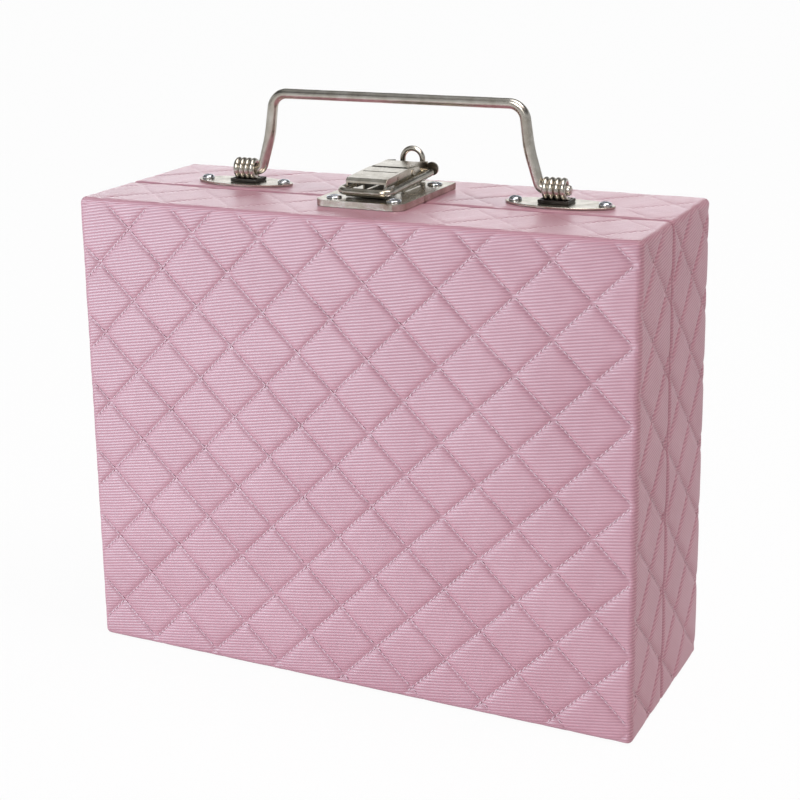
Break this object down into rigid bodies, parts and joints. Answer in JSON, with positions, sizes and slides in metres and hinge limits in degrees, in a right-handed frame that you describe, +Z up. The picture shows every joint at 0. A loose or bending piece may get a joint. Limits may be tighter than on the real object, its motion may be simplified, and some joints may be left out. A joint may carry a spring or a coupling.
{
  "type": "jewelry box",
  "caption": "Upright quilted jewelry case with a hinged front lid, wire bail handle, toggle latch, ring rolls, trays and a lid mirror.",
  "frame": {"origin": "middle of the footprint, on the surface that the case stands on", "axes": "+X to the right along the case's width, +Y from the front lid to the back, +Z up to the handle"},
  "size_m": [0.23, 0.085, 0.2261],
  "materials": {
    "leather": "padded pink artificial leather with fine ribs and sewn diamonds, soft satin",
    "board": "plain fibreboard",
    "velvet": "short pile velvet",
    "nickel": "aged nickel plate, warm grey, polished",
    "dark_nickel": "darkened nickel plate",
    "screw_steel": "bright zinc plate",
    "mirror": "silvered glass"
  },
  "bodies": {
    "case_back": {"back_board": "board", "back_cover": "leather", "back_lining": "velvet", "bail_coil_left": "nickel", "bail_coil_right": "nickel", "coil_saddle_left": "dark_nickel", "coil_saddle_right": "dark_nickel", "divider_left": "velvet", "divider_long": "velvet", "divider_right_high": "velvet", "divider_right_low": "velvet", "handle_plate_left": "nickel", "handle_plate_right": "nickel", "handle_screw_left_inner": "screw_steel", "handle_screw_left_outer": "screw_steel", "handle_screw_right_inner": "screw_steel", "handle_screw_right_outer": "screw_steel", "hinge_leaf_back_left": "nickel", "hinge_leaf_back_right": "nickel", "hinge_pin_left": "nickel", "hinge_pin_right": "nickel", "latch_hood": "nickel", "latch_rear_plate": "nickel", "latch_rivet": "nickel", "latch_screw_rear_left": "screw_steel", "latch_screw_rear_right": "screw_steel", "padlock_staple": "nickel", "ring_bed": "velvet", "ring_roll_1": "velvet", "ring_roll_2": "velvet", "ring_roll_3": "velvet", "ring_roll_4": "velvet", "ring_roll_5": "velvet"},
    "lid": {"hinge_leaf_lid_left": "nickel", "hinge_leaf_lid_right": "nickel", "latch_catch": "nickel", "latch_front_plate": "nickel", "latch_screw_front_left": "screw_steel", "latch_screw_front_right": "screw_steel", "lid_board": "board", "lid_cover": "leather", "lid_lining": "velvet", "lid_mirror": "mirror", "mirror_frame": "velvet"},
    "bail": {"bail_handle": "nickel"},
    "lever": {"latch_lever": "nickel"},
    "loop": {"latch_loop": "nickel"}
  },
  "joints": [
    {"name": "lid_hinge", "type": "hinge", "parent": "case_back", "child": "lid", "pos_m": [0, -0.0055, 0.0018], "axis": [1, 0, 0], "range_deg": [0, 105]},
    {"name": "bail_swing", "type": "hinge", "parent": "case_back", "child": "bail", "pos_m": [0, 0.0073, 0.1929], "axis": [1, 0, 0], "range_deg": [-95, 80]},
    {"name": "lever_pivot", "type": "hinge", "parent": "case_back", "child": "lever", "pos_m": [0, 0.0055, 0.196], "axis": [1, 0, 0], "range_deg": [0, 60]},
    {"name": "loop_pivot", "type": "hinge", "parent": "lever", "child": "loop", "pos_m": [0, 0.0184, 0.1944], "axis": [1, 0, 0], "range_deg": [-60, 0]}
  ],
  "couplings": [
    {"joint": "loop_pivot", "follows": "lever_pivot", "ratio": -1}
  ]
}
